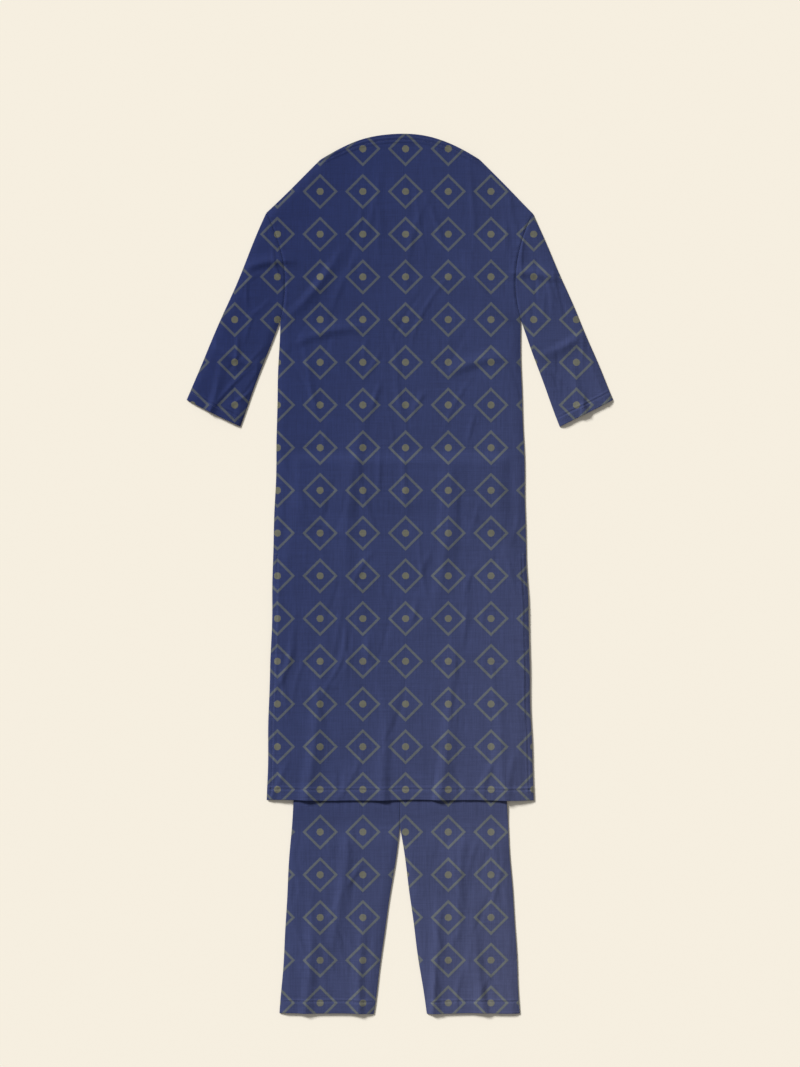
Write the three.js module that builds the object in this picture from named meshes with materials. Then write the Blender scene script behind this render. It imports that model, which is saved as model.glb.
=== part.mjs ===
// A calf-length kurta and its straight trousers, laid out flat and face up as one set.
// The trousers' top lies inside the kurta, as worn, and the legs come out below its hem.
// Millimetres, +Z up. The neck is at +Y and the wearer's left at +X. The origin is the
// middle of the laid-out set, on the surface that it lies on.
import * as THREE from "three";

// Kurta, as measured on the flat garment
const SET_LENGTH = 1650; // top of the neck edge to the trouser hems
const KURTA_LENGTH = 1200; // neck point to hem
const NECK_WIDTH = 300; // boat neck, from neck point to neck point
const NECK_RISE = 50; // the neck edge arches up between its two points
const FRONT_NECK_DIP = 6; // the front neck edge is cut lower than the back
const SHOULDER_WIDTH = 500;
const SHOULDER_DROP = 100; // shoulder tip below the neck point
const ARMPIT_DROP = 300; // armpit below the neck point
const CHEST_WIDTH = 450;
const HEM_WIDTH = 500;
const ARMHOLE_CURVE = 20; // how far the armhole seam bows into the body
const SLIT_LENGTH = 460; // side slit, up from the hem

// Sleeves, from the neck point and the centre line
const CUFF_OUTER = { out: 400, drop: 450 };
const CUFF_INNER = { out: 300, drop: 500 };

// Trousers
const LEG_HEM_OUTER = 225; // outseam to centre line at the hem
const LEG_HEM_INNER = 50; // inseam to centre line at the hem
const LEG_AT_KURTA_HEM = 200; // outseam to centre line where the kurta ends
const LEGS_PART_BELOW_HEM = 50; // below this the two legs run apart
const TROUSERS_SHOW = 400; // length that shows below the kurta
const HIP_HALF_WIDTH = 215;
const HIP_Y = -100;
const WAIST_HALF_WIDTH = 170;
const WAIST_Y = 150; // where the waistband is sewn on
const WAISTBAND_HEIGHT = 40;
const WAISTBAND_WALL = 1.8; // elastic inside a casing

// Cloth
const WALL = 1.2;
const GAP = 0.3; // between pieces, at seams and between layers
const LAYER = WALL + GAP;
const LOFT = 1.5; // a top layer stands this much off the one below, away from its seams
const SEAM_ROLL = 15; // width of the strip that comes down to a seam
const FOLD_SKEW = 0.35; // how far a fold's crest stands out towards its bow, in half breadths
const STEP_RAMP = 24; // width over which cloth comes down from what lies under it
const HEM_RAMP = 36; // length over which the legs come down off the kurta's back
const LEG_EASE = 48; // length over which a leg's loft and folds begin, below that
const SLIT_LIFT = 0.4; // share of the loft that the loose edges of a slit keep
const SLIT_EASE = 90; // length over which a slit's edges come down to its top

// Places that follow from the sizes
const NECK_POINT_Y = SET_LENGTH / 2 - NECK_RISE;
const SHOULDER_Y = NECK_POINT_Y - SHOULDER_DROP;
const ARMPIT_Y = NECK_POINT_Y - ARMPIT_DROP;
const KURTA_HEM_Y = NECK_POINT_Y - KURTA_LENGTH;
const LEG_HEM_Y = KURTA_HEM_Y - TROUSERS_SHOW;
const LEGS_PART_Y = KURTA_HEM_Y - LEGS_PART_BELOW_HEM;
const WAISTBAND_TOP_Y = WAIST_Y + GAP + WAISTBAND_HEIGHT;
const YOKE_Y = ARMPIT_Y + (SHOULDER_Y - ARMPIT_Y) / 2; // rows of the body bend up from here
const NECK_POINT = [NECK_WIDTH / 2, NECK_POINT_Y];
const SHOULDER_TIP = [SHOULDER_WIDTH / 2, SHOULDER_Y];
const ARMPIT = [CHEST_WIDTH / 2, ARMPIT_Y];
const HEM_CORNER = [HEM_WIDTH / 2, KURTA_HEM_Y];
const CUFF_TOP = [CUFF_OUTER.out, NECK_POINT_Y - CUFF_OUTER.drop];
const CUFF_UNDER = [CUFF_INNER.out, NECK_POINT_Y - CUFF_INNER.drop];
const SLIT_TOP_Y = KURTA_HEM_Y + SLIT_LENGTH;

// Folds of the layers that show. Each runs from one point to another, bows sideways by `bow`,
// and is a ridge `breadth` wide and `height` high. An open one is highest at its start, on a
// hem or cuff, and the others die away at both ends.
const KURTA_FOLDS = [
  { from: [-214, 470], to: [-100, 612], bow: 10, breadth: 39, height: 3.6 },
  { from: [214, 462], to: [112, 590], bow: -12, breadth: 36, height: 3.8 },
  { from: [-212, 430], to: [-50, 462], bow: -14, breadth: 42, height: 3.2 },
  { from: [214, 410], to: [72, 372], bow: 12, breadth: 45, height: 3.1 },
  { from: [-66, 330], to: [-108, -40], bow: 18, breadth: 63, height: 3.2 },
  { from: [104, 260], to: [62, -120], bow: -16, breadth: 66, height: 3.1 },
  { from: [-222, 140], to: [-96, 60], bow: 8, breadth: 40, height: 2.7 },
  { from: [226, 52], to: [118, 132], bow: 7, breadth: 39, height: 2.5 },
  { from: [-168, -425], to: [-142, -120], bow: 8, breadth: 52, height: 4.3, open: true },
  { from: [-38, -425], to: [-20, -230], bow: -6, breadth: 46, height: 3.6, open: true },
  { from: [82, -425], to: [104, -90], bow: 9, breadth: 54, height: 4.3, open: true },
  { from: [192, -425], to: [182, -250], bow: -5, breadth: 40, height: 3.2, open: true },
  { from: [196, 566], to: [318, 548], bow: -8, breadth: 34, height: 3.6 },
  { from: [262, 400], to: [352, 452], bow: 7, breadth: 38, height: 3.4 },
  { from: [345, 300], to: [318, 400], bow: -5, breadth: 33, height: 3.4, open: true },
  { from: [-188, 590], to: [-306, 570], bow: 9, breadth: 36, height: 3.8 },
  { from: [-270, 384], to: [-360, 430], bow: -7, breadth: 34, height: 3.4 },
  { from: [-352, 301], to: [-330, 412], bow: 6, breadth: 34, height: 3.6, open: true },
];
const TROUSER_FOLDS = [
  { from: [66, -825], to: [74, -560], bow: 6, breadth: 40, height: 3.6, open: true },
  { from: [152, -825], to: [134, -600], bow: -7, breadth: 44, height: 3.8, open: true },
  { from: [118, -462], to: [106, -690], bow: 8, breadth: 44, height: 3.2 },
  { from: [-84, -825], to: [-66, -620], bow: -6, breadth: 39, height: 3.8, open: true },
  { from: [-170, -825], to: [-164, -540], bow: 8, breadth: 45, height: 3.6, open: true },
  { from: [-96, -462], to: [-124, -720], bow: -9, breadth: 45, height: 3.4 },
];

const clamp = THREE.MathUtils.clamp;
const lerp = THREE.MathUtils.lerp;
const smoothstep = THREE.MathUtils.smoothstep;

function range(from, to, steps) {
  return Array.from({ length: steps + 1 }, (_, i) => lerp(from, to, i / steps));
}

// Height of all the folds at a point: across each one half (1 - a^2)^2 and half a crisper
// (1 - a)^2, and along it a half wave, or a quarter wave where it is open at its start.
function foldHeight(folds, x, y) {
  let height = 0;
  for (const fold of folds) {
    const [dx, dy] = [fold.to[0] - fold.from[0], fold.to[1] - fold.from[1]];
    const [px, py] = [x - fold.from[0], y - fold.from[1]];
    const length = Math.hypot(dx, dy);
    const along = clamp((px * dx + py * dy) / length ** 2, 0, 1);
    const bowed = fold.bow * 4 * along * (1 - along);
    const across = clamp(((px * dy - py * dx) / length - bowed) / (fold.breadth / 2), -1, 1);
    const a = Math.abs(across + FOLD_SKEW * Math.sign(fold.bow) * (1 - across ** 2));
    const taper = fold.open ? Math.cos((along * Math.PI) / 2) : Math.sin(along * Math.PI);
    height += (fold.height * taper * ((1 - a ** 2) ** 2 + (1 - a) ** 2)) / 2;
  }
  return height;
}

// Rises from 0 at a seam to 1 a little way in, as a parabola.
function seamRoll(distance) {
  const t = clamp(distance / SEAM_ROLL, 0, 1);
  return t * (2 - t);
}

// Distance from a point to the line between two others.
function distanceToLine(x, y, [ax, ay], [bx, by]) {
  const [dx, dy] = [bx - ax, by - ay];
  const along = clamp(((x - ax) * dx + (y - ay) * dy) / (dx * dx + dy * dy), 0, 1);
  return Math.hypot(x - ax - along * dx, y - ay - along * dy);
}

// A closed wall of cloth on a grid of columns and rows. place(u, v) gives [x, y], and
// underside(x, y, u) the height of the wall's lower face.
function clothSheet(columns, rows, place, underside) {
  const positions = [];
  for (const rise of [0, WALL])
    for (const v of rows)
      for (const u of columns) {
        const [x, y] = place(u, v);
        positions.push(x, y, underside(x, y, u) + rise);
      }
  const [across, up] = [columns.length, rows.length];
  const triangles = [];
  const quad = (a, b, c, d) => triangles.push(a, b, c, a, c, d);
  const lower = (i, j) => j * across + i;
  const upper = (i, j) => across * up + lower(i, j);
  for (let j = 0; j < up - 1; j++)
    for (let i = 0; i < across - 1; i++) {
      quad(upper(i, j), upper(i + 1, j), upper(i + 1, j + 1), upper(i, j + 1));
      quad(lower(i, j), lower(i, j + 1), lower(i + 1, j + 1), lower(i + 1, j));
    }
  for (let i = 0; i < across - 1; i++) {
    quad(lower(i, 0), lower(i + 1, 0), upper(i + 1, 0), upper(i, 0));
    quad(lower(i + 1, up - 1), lower(i, up - 1), upper(i, up - 1), upper(i + 1, up - 1));
  }
  for (let j = 0; j < up - 1; j++) {
    quad(lower(0, j + 1), lower(0, j), upper(0, j), upper(0, j + 1));
    quad(lower(across - 1, j), lower(across - 1, j + 1), upper(across - 1, j + 1), upper(across - 1, j));
  }
  return geometryOf(positions, triangles);
}

// A tube of cloth pressed flat, open at both ends. Each section is a loop: across the top
// layer, down one folded edge and back across the bottom layer, with the same loop one wall
// further in. place(w, v) gives [x, y], and topOf(x, y) the outside height of the top layer.
function flatTube(stations, sections, place, topOf, bottom, wall) {
  const around = 2 * stations.length;
  const positions = [];
  for (const v of sections) {
    const outer = stations.map((w) => place(w, v));
    const inner = outer.map(([x, y], i) => {
      const last = outer.length - 1;
      if (i > 0 && i < last) return [x, y];
      const [nx, ny] = outer[i === 0 ? 1 : last - 1];
      const share = wall / Math.hypot(nx - x, ny - y);
      return [lerp(x, nx, share), lerp(y, ny, share)];
    });
    const top = outer.map(([x, y]) => topOf(x, y));
    outer.forEach(([x, y], i) => positions.push(x, y, top[i]));
    outer.toReversed().forEach(([x, y]) => positions.push(x, y, bottom));
    inner.forEach(([x, y], i) => positions.push(x, y, top[i] - wall));
    inner.toReversed().forEach(([x, y]) => positions.push(x, y, bottom + wall));
  }
  const triangles = [];
  const quad = (a, b, c, d) => triangles.push(a, b, c, a, c, d);
  const outside = (i, k) => 2 * around * k + (i % around);
  const inside = (i, k) => around + outside(i, k);
  const last = sections.length - 1;
  for (let i = 0; i < around; i++) {
    for (let k = 0; k < last; k++) {
      quad(outside(i, k), outside(i, k + 1), outside(i + 1, k + 1), outside(i + 1, k));
      quad(inside(i, k), inside(i + 1, k), inside(i + 1, k + 1), inside(i, k + 1));
    }
    quad(outside(i, 0), outside(i + 1, 0), inside(i + 1, 0), inside(i, 0));
    quad(outside(i + 1, last), outside(i, last), inside(i, last), inside(i + 1, last));
  }
  return geometryOf(positions, triangles);
}

// A geometry from flat lists of coordinates and corners, with its faces turned out.
function geometryOf(positions, triangles) {
  let volume = 0;
  const corner = (i) => new THREE.Vector3().fromArray(positions, 3 * triangles[i]);
  for (let i = 0; i < triangles.length; i += 3)
    volume += corner(i).dot(corner(i + 1).cross(corner(i + 2)));
  if (volume < 0) triangles.reverse();
  const geometry = new THREE.BufferGeometry();
  geometry.setAttribute("position", new THREE.Float32BufferAttribute(positions, 3));
  geometry.setIndex(triangles);
  geometry.computeVertexNormals();
  return geometry;
}

// Cloth as drawn: navy with muted gold motifs
const kurtaCloth = new THREE.MeshStandardMaterial({ color: 0x333e60, roughness: 0.75, metalness: 0 });
const trouserCloth = new THREE.MeshStandardMaterial({ color: 0x3f4867, roughness: 0.75, metalness: 0 });
const waistbandCloth = new THREE.MeshStandardMaterial({ color: 0x384263, roughness: 0.8, metalness: 0 });

const set = new THREE.Group();
function add(parent, name, geometry, material) {
  const mesh = new THREE.Mesh(geometry, material);
  mesh.name = name;
  parent.add(mesh);
}

// Kurta body: half its width at a height, its top edge, and the grid over both
const armholeHalfWidth = (t) =>
  lerp(CHEST_WIDTH / 2, SHOULDER_WIDTH / 2, t) - 4 * ARMHOLE_CURVE * t * (1 - t);

function bodyHalfWidth(y) {
  if (y > ARMPIT_Y) return armholeHalfWidth((y - ARMPIT_Y) / (SHOULDER_Y - ARMPIT_Y));
  return lerp(HEM_WIDTH, CHEST_WIDTH, (y - KURTA_HEM_Y) / (ARMPIT_Y - KURTA_HEM_Y)) / 2;
}

// Shoulder slopes at the sides, and between the neck points an arch, lower by `dip` in the middle.
function topEdge(x, dip) {
  const fromCentre = Math.abs(x) / (NECK_WIDTH / 2);
  if (fromCentre < 1) return NECK_POINT_Y + (NECK_RISE - dip) * (1 - fromCentre ** 2);
  const share = (Math.abs(x) - NECK_WIDTH / 2) / ((SHOULDER_WIDTH - NECK_WIDTH) / 2);
  return NECK_POINT_Y - SHOULDER_DROP * share;
}

// The body's grid: v is the height at the side edge. Rows are level up to the yoke, and
// then bend up until the last one is the top edge.
const bodyPlace = (dip) => (u, v) => {
  const bend = clamp((v - YOKE_Y) / (SHOULDER_Y - YOKE_Y), 0, 1);
  const top = topEdge((u * SHOULDER_WIDTH) / 2, dip) - SHOULDER_Y;
  return [u * bodyHalfWidth(v), v + bend * top];
};

// How far the outseam is from the centre line.
function outseam(y) {
  if (y < KURTA_HEM_Y)
    return lerp(LEG_HEM_OUTER, LEG_AT_KURTA_HEM, (y - LEG_HEM_Y) / TROUSERS_SHOW);
  if (y < HIP_Y) return lerp(LEG_AT_KURTA_HEM, HIP_HALF_WIDTH, smoothstep(y, KURTA_HEM_Y, HIP_Y));
  return lerp(HIP_HALF_WIDTH, WAIST_HALF_WIDTH, smoothstep(y, HIP_Y, WAIST_Y));
}

// Height that the kurta front needs over what lies under it, above the back's upper face:
// both trouser layers, and the thicker waistband.
function bulkBelow(x, y) {
  const margin = SEAM_ROLL;
  const beside = 1 - smoothstep(Math.abs(x), outseam(y) + margin, outseam(y) + margin + STEP_RAMP);
  const above = 1 - smoothstep(y, WAISTBAND_TOP_Y + margin, WAISTBAND_TOP_Y + margin + STEP_RAMP);
  const onBand = above * smoothstep(y, WAIST_Y - margin - STEP_RAMP, WAIST_Y - margin);
  const bandExtra = 2 * WAISTBAND_WALL - 2 * WALL;
  return beside * (above * (2 * LAYER - LOFT) + onBand * bandExtra);
}

// Underside of the kurta's upper layer, the same over the body and both sleeves. It meets the
// lower layer along shoulder seam, sleeve fold, underarm seam and side seam, and is looser
// along the slit.
const CLOSED_EDGES = [
  [NECK_POINT, SHOULDER_TIP],
  [SHOULDER_TIP, CUFF_TOP],
  [CUFF_UNDER, ARMPIT],
  [ARMPIT, HEM_CORNER],
];

function upperLayer(x, y) {
  const distances = CLOSED_EDGES.map(([a, b]) => distanceToLine(Math.abs(x), y, a, b));
  const loose = 1 - smoothstep(y, SLIT_TOP_Y - SLIT_EASE, SLIT_TOP_Y);
  const roll = Math.max(seamRoll(Math.min(...distances)), SLIT_LIFT * loose);
  return LAYER + roll * (LOFT + bulkBelow(x, y) + foldHeight(KURTA_FOLDS, x, y));
}

const ARMHOLE_STEPS = 10;
const armholeRows = range(ARMPIT_Y, SHOULDER_Y, ARMHOLE_STEPS).slice(1);

const kurta = new THREE.Group();
set.add(kurta);

// The front's columns are closest at the side seams, and its rows bend with the waistband.
const FRONT_STEPS = { across: 30, toBand: 24, overBand: 3, toArmpit: 11 };
const frontColumns = [-1, -0.95, ...range(-0.89, 0.89, FRONT_STEPS.across), 0.95, 1];
const frontRows = [
  ...range(KURTA_HEM_Y, WAIST_Y - SEAM_ROLL, FRONT_STEPS.toBand),
  ...range(WAIST_Y - SEAM_ROLL, WAISTBAND_TOP_Y + SEAM_ROLL, FRONT_STEPS.overBand).slice(1),
  ...range(WAISTBAND_TOP_Y + SEAM_ROLL, ARMPIT_Y, FRONT_STEPS.toArmpit).slice(1),
  ...armholeRows,
];
const front = clothSheet(frontColumns, frontRows, bodyPlace(FRONT_NECK_DIP), upperLayer);
add(kurta, "kurta_front", front, kurtaCloth);

// The back is flat, so its columns only need to follow the neck's arch.
const BACK_STEPS = { across: 10, toArmpit: 4 };
const backColumns = [-1, -0.8, ...range(-0.6, 0.6, BACK_STEPS.across), 0.8, 1];
const backRows = [...range(KURTA_HEM_Y, ARMPIT_Y, BACK_STEPS.toArmpit), ...armholeRows];
add(kurta, "kurta_back", clothSheet(backColumns, backRows, bodyPlace(0), () => 0), kurtaCloth);

// Sleeves: w runs from the underarm seam to the fold along the top, v from armhole to cuff
const SLEEVE_LENGTH_STEPS = 16;
for (const [name, side] of [["sleeve_left", 1], ["sleeve_right", -1]]) {
  const place = (w, v) => {
    const atArmhole = [armholeHalfWidth(w) + GAP, lerp(ARMPIT_Y, SHOULDER_Y, w)];
    const atCuff = [lerp(CUFF_UNDER[0], CUFF_TOP[0], w), lerp(CUFF_UNDER[1], CUFF_TOP[1], w)];
    const bow = 4 * ARMHOLE_CURVE * w * (1 - w) * v * (1 - v);
    return [side * (lerp(atArmhole[0], atCuff[0], v) + bow), lerp(atArmhole[1], atCuff[1], v)];
  };
  const stations = range(0, 1, ARMHOLE_STEPS);
  const topOf = (x, y) => upperLayer(x, y) + WALL;
  const sections = range(0, 1, SLEEVE_LENGTH_STEPS);
  add(kurta, name, flatTube(stations, sections, place, topOf, 0, WALL), kurtaCloth);
}

// Trousers: a front and a back panel to each leg. Inside the kurta they lie on its back,
// and just below its hem they come down to the surface.
const trousers = new THREE.Group();
set.add(trousers);

const RAMP_START_Y = KURTA_HEM_Y - SEAM_ROLL / 2;
const RAMP_END_Y = RAMP_START_Y - HEM_RAMP;
const onKurtaBack = (y) => LAYER * smoothstep(y, RAMP_END_Y, RAMP_START_Y);

function inseam(y) {
  const apart = clamp((LEGS_PART_Y - y) / (LEGS_PART_Y - LEG_HEM_Y), 0, 1);
  return lerp(GAP / 2, LEG_HEM_INNER, apart);
}

const LEG_STEPS = { across: 7, backAcross: 3, shown: 16, ramp: 3, inside: 10 };
const frontLegRows = [
  ...range(LEG_HEM_Y, LEGS_PART_Y, LEG_STEPS.shown).slice(0, -1),
  ...range(RAMP_END_Y, RAMP_START_Y, LEG_STEPS.ramp),
  ...range(RAMP_START_Y, WAIST_Y, LEG_STEPS.inside).slice(1),
];
const backLegRows = [
  LEG_HEM_Y,
  (LEG_HEM_Y + LEGS_PART_Y) / 2,
  ...frontLegRows.slice(LEG_STEPS.shown),
];

for (const [name, side] of [["left", 1], ["right", -1]]) {
  const place = (u, y) => {
    const edges = [side * inseam(y), side * outseam(y)].sort((a, b) => a - b);
    return [lerp(edges[0], edges[1], u), y];
  };
  const frontUnderside = (x, y, u) => {
    const width = outseam(y) - inseam(y);
    const roll = seamRoll(Math.min(u, 1 - u) * width);
    const shown = 1 - smoothstep(y, RAMP_END_Y - LEG_EASE, RAMP_END_Y);
    return LAYER + onKurtaBack(y) + roll * shown * (LOFT + foldHeight(TROUSER_FOLDS, x, y));
  };
  const frontLegColumns = [0, 0.07, ...range(0.16, 0.84, LEG_STEPS.across), 0.93, 1];
  const backLegColumns = range(0, 1, LEG_STEPS.backAcross);
  const frontLeg = clothSheet(frontLegColumns, frontLegRows, place, frontUnderside);
  const backLeg = clothSheet(backLegColumns, backLegRows, place, (x, y) => onKurtaBack(y));
  add(trousers, `trouser_front_${name}`, frontLeg, trouserCloth);
  add(trousers, `trouser_back_${name}`, backLeg, trouserCloth);
}

// Waistband: one flattened ring of elastic in its casing, on the kurta's back
const bandPlace = (w, y) => [lerp(-WAIST_HALF_WIDTH, WAIST_HALF_WIDTH, w), y];
const BAND_STEPS = 8;
const bandTop = LAYER + 2 * WAISTBAND_WALL + GAP;
const bandSections = [WAIST_Y + GAP, WAISTBAND_TOP_Y];
const bandStations = range(0, 1, BAND_STEPS);
const band = flatTube(bandStations, bandSections, bandPlace, () => bandTop, LAYER, WAISTBAND_WALL);
add(trousers, "waistband", band, waistbandCloth);

export default set;
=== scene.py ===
# A calf-length kurta and its straight trousers, laid out flat and face up as one outfit.
# Metres, +Z up. The neck is at +Y, the wearer's left at +X, and the cloth lies on z = 0.
from collections import namedtuple

import bpy
import numpy as np
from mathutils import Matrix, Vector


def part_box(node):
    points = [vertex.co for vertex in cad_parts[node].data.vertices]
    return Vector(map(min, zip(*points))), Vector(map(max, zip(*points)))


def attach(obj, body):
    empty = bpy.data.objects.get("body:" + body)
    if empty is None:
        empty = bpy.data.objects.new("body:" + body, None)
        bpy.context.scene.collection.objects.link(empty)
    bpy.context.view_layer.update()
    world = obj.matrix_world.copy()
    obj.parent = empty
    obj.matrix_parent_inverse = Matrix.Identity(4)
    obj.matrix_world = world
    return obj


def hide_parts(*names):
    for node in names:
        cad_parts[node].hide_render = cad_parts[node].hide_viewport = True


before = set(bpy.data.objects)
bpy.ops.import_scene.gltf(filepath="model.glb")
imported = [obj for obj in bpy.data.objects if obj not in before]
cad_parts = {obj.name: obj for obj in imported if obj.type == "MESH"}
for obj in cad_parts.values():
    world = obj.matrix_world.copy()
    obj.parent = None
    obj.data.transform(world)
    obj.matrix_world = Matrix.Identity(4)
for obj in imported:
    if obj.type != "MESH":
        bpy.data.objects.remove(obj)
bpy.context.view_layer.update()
mm = 0.001


# Floor, light and camera
# The outfit lies on a plain pale surface, under one low soft light from the upper left and an
# even fill, and it is seen from straight above.
FLOOR_COLOUR = (0.87, 0.815, 0.71)
FLOOR_REACH = 30.0
FLOOR_CLEARANCE = 0.05 * mm
FLOOR_ROUGHNESS = 0.9
FLOOR_SPECULAR = 0.1
KEY_DIRECTION = (-0.60, 0.66, 0.54)
KEY_WIDTH = np.radians(16)
KEY_STRENGTH = 4.6
FILL_COLOUR = (1.0, 0.985, 0.96)
FILL_STRENGTH = 0.30
VIEW_CENTRE = (0.0, 0.0747)
VIEW_SPAN = 2.0006
VIEW_HEIGHT = 5.0
VIEW_REACH = 100.0
SENSOR = 36.0

corners = np.array([(-1, -1), (1, -1), (1, 1), (-1, 1)]) * FLOOR_REACH
floor_mesh = bpy.data.meshes.new("floor")
floor_mesh.from_pydata([(x, y, -FLOOR_CLEARANCE) for x, y in corners], [], [(0, 1, 2, 3)])
floor = bpy.data.objects.new("floor", floor_mesh)
bpy.context.scene.collection.objects.link(floor)
floor_paint = bpy.data.materials.new("floor_paint")
floor_paint.use_nodes = True
floor_shader = floor_paint.node_tree.nodes["Principled BSDF"]
floor_shader.inputs["Base Color"].default_value = (*FLOOR_COLOUR, 1)
floor_shader.inputs["Roughness"].default_value = FLOOR_ROUGHNESS
floor_shader.inputs["Specular IOR Level"].default_value = FLOOR_SPECULAR
floor_mesh.materials.append(floor_paint)

key_light = bpy.data.lights.new("key", "SUN")
key_light.angle = KEY_WIDTH
key_light.energy = KEY_STRENGTH
key = bpy.data.objects.new("key", key_light)
key.location = KEY_DIRECTION
key.rotation_mode = "QUATERNION"
key.rotation_quaternion = key.location.to_track_quat("Z", "Y")
bpy.context.scene.collection.objects.link(key)

world = bpy.data.worlds.new("studio")
world.use_nodes = True
world.node_tree.nodes["Background"].inputs["Color"].default_value = (*FILL_COLOUR, 1)
world.node_tree.nodes["Background"].inputs["Strength"].default_value = FILL_STRENGTH
bpy.context.scene.world = world

camera_data = bpy.data.cameras.new("camera")
camera_data.sensor_width = SENSOR
camera_data.lens = SENSOR * VIEW_HEIGHT / VIEW_SPAN
camera_data.clip_end = VIEW_REACH
camera = bpy.data.objects.new("camera", camera_data)
camera.location = (*VIEW_CENTRE, VIEW_HEIGHT)
bpy.context.scene.collection.objects.link(camera)
bpy.context.scene.camera = camera
bpy.context.scene.view_settings.view_transform = "Standard"
bpy.context.scene.view_settings.look = "None"


# Kurta back
# One panel of navy cloth woven with small gold diamonds, cut from the neck to the calf. It
# lies flat on the floor, and everything else lies on it. Only a strip of its inside shows.
BACK_LOW, BACK_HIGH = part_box("kurta_back")
SLEEVE_LOW, SLEEVE_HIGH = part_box("sleeve_left")
WALL = BACK_HIGH[2] - BACK_LOW[2]
GAP = 0.3 * mm
LAYER = WALL + GAP
HEM_Y = BACK_LOW[1]
NECK_RISE = 50 * mm
NECK_POINT = (150 * mm, BACK_HIGH[1] - NECK_RISE)
SHOULDER_TIP = (BACK_HIGH[0], SLEEVE_HIGH[1])
ARMPIT = (225 * mm, NECK_POINT[1] - 300 * mm)
HEM_CORNER = (BACK_HIGH[0], HEM_Y)
ARMHOLE_CURVE = 20 * mm
BACK_SPACING = 8 * mm
BACK_SPACING_UP = (10 * mm, 5 * mm)
LIP = WALL / 2
LIP_STEPS = np.array([0.0, 0.13, 0.5, 1.0])


def smooth(value, start, end):
    """3t^2 - 2t^3, where t goes from 0 at start to 1 at end."""
    t = np.clip((value - start) / (end - start), 0, 1)
    return t * t * (3 - 2 * t)


def mix(a, b, share):
    return a + (b - a) * share


def stations(length, *spans):
    """Places along a piece, in metres from 0 to length, and the roundness at each. Each span is
    (end, spacing). The first and last few places round off the raw edge, and roundness is the
    half circle's height there, from 0 at the edge to 1."""
    places = [LIP_STEPS * LIP]
    start = LIP
    for end, spacing in spans:
        end = min(end, length - LIP)
        count = int(np.ceil((end - start) / spacing - 1e-6))
        places.append(np.linspace(start, end, count + 1)[1:])
        start = end
    places.append(length - LIP_STEPS[-2::-1] * LIP)
    rounded = np.sqrt(1 - (1 - LIP_STEPS) ** 2)
    roundness = [rounded, *(np.ones(len(p)) for p in places[1:-1]), rounded[-2::-1]]
    return np.concatenate(places), np.concatenate(roundness)


def body_half_width(y):
    """Straight from hem corner to armpit, and from there to the shoulder tip a straight line
    less a parabola of ARMHOLE_CURVE, the armhole."""
    t = (y - ARMPIT[1]) / (SHOULDER_TIP[1] - ARMPIT[1])
    side = mix(ARMPIT[0], HEM_CORNER[0], (ARMPIT[1] - y) / (ARMPIT[1] - HEM_Y))
    armhole = mix(ARMPIT[0], SHOULDER_TIP[0], t) - 4 * ARMHOLE_CURVE * t * (1 - t)
    return np.where(t > 0, armhole, side)


def top_edge(x, dip):
    """A parabola between the neck points, lower by dip in the middle, and straight slopes
    from them to the shoulder tips."""
    share = (np.abs(x) - NECK_POINT[0]) / (SHOULDER_TIP[0] - NECK_POINT[0])
    slope = mix(NECK_POINT[1], SHOULDER_TIP[1], share)
    arch = NECK_POINT[1] + (NECK_RISE - dip) * (1 - (x / NECK_POINT[0]) ** 2)
    return np.where(share < 0, arch, slope)


def body_plan(across, up, dip):
    """Plan of a body panel: across is -1 at one side edge and 1 at the other, and up is the
    height at the side. Rows bend above the armpit until the last one is the top edge."""
    bend = np.clip((up - ARMPIT[1]) / (SHOULDER_TIP[1] - ARMPIT[1]), 0, 1)
    lift = top_edge(across * SHOULDER_TIP[0], dip) - SHOULDER_TIP[1]
    return across * body_half_width(up), up + bend * lift


def hand_laid(x, y):
    """Plan moved by about a millimetre in slow waves, because cloth laid by hand never lies
    on its pattern's exact lines."""
    dx = 0.7 * np.sin(x / 0.081 + y / 0.047 + 0.4) + 0.4 * np.sin(y / 0.021 - x / 0.06 + 1.7)
    dy = 0.7 * np.sin(x / 0.052 - y / 0.09 + 2.1) + 0.4 * np.sin(x / 0.019 + y / 0.07)
    return x + dx * mm, y + dy * mm


def add_piece(name, points, faces, material):
    """A new object at the origin from an array of points and one of four-sided faces, shaded
    smooth. A closed shape's volume says whether its faces point out, and turns them if not."""
    a, b, c, d = (points[faces[:, i]] for i in range(4))
    if np.einsum("ij,ij->", a, np.cross(b, c) + np.cross(c, d)) < 0:
        faces = faces[:, ::-1]
    mesh = bpy.data.meshes.new(name)
    mesh.from_pydata(points.tolist(), [], faces.tolist())
    mesh.polygons.foreach_set("use_smooth", np.ones(len(mesh.polygons), dtype=bool))
    mesh.materials.append(material)
    mesh.update()
    piece = bpy.data.objects.new(name, mesh)
    bpy.context.scene.collection.objects.link(piece)
    return piece


def quads(index):
    """Faces of a grid of point numbers, counter-clockwise where columns go right, rows up."""
    return np.stack([index[:-1, :-1], index[:-1, 1:], index[1:, 1:], index[1:, :-1]], -1).reshape(-1, 4)


def cloth(name, x, y, underside, roundness, material):
    """A closed wall of cloth on a grid of plan points. Its two faces stand half a wall either
    side of the middle, times the roundness, so that they meet in one rounded edge all round."""
    rows, columns = x.shape
    middle = underside + WALL / 2
    half = roundness * WALL / 2
    upper = np.stack([x, y, middle + half], -1)
    lower = np.stack([x, y, middle - half], -1)[1:-1, 1:-1]
    over = np.arange(rows * columns).reshape(rows, columns)
    under = over.copy()
    under[1:-1, 1:-1] = rows * columns + np.arange((rows - 2) * (columns - 2)).reshape(rows - 2, -1)
    points = np.concatenate([upper.reshape(-1, 3), lower.reshape(-1, 3)])
    faces = np.concatenate([quads(over), quads(under)[:, ::-1]])
    return add_piece(name, points, faces, material)


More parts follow.
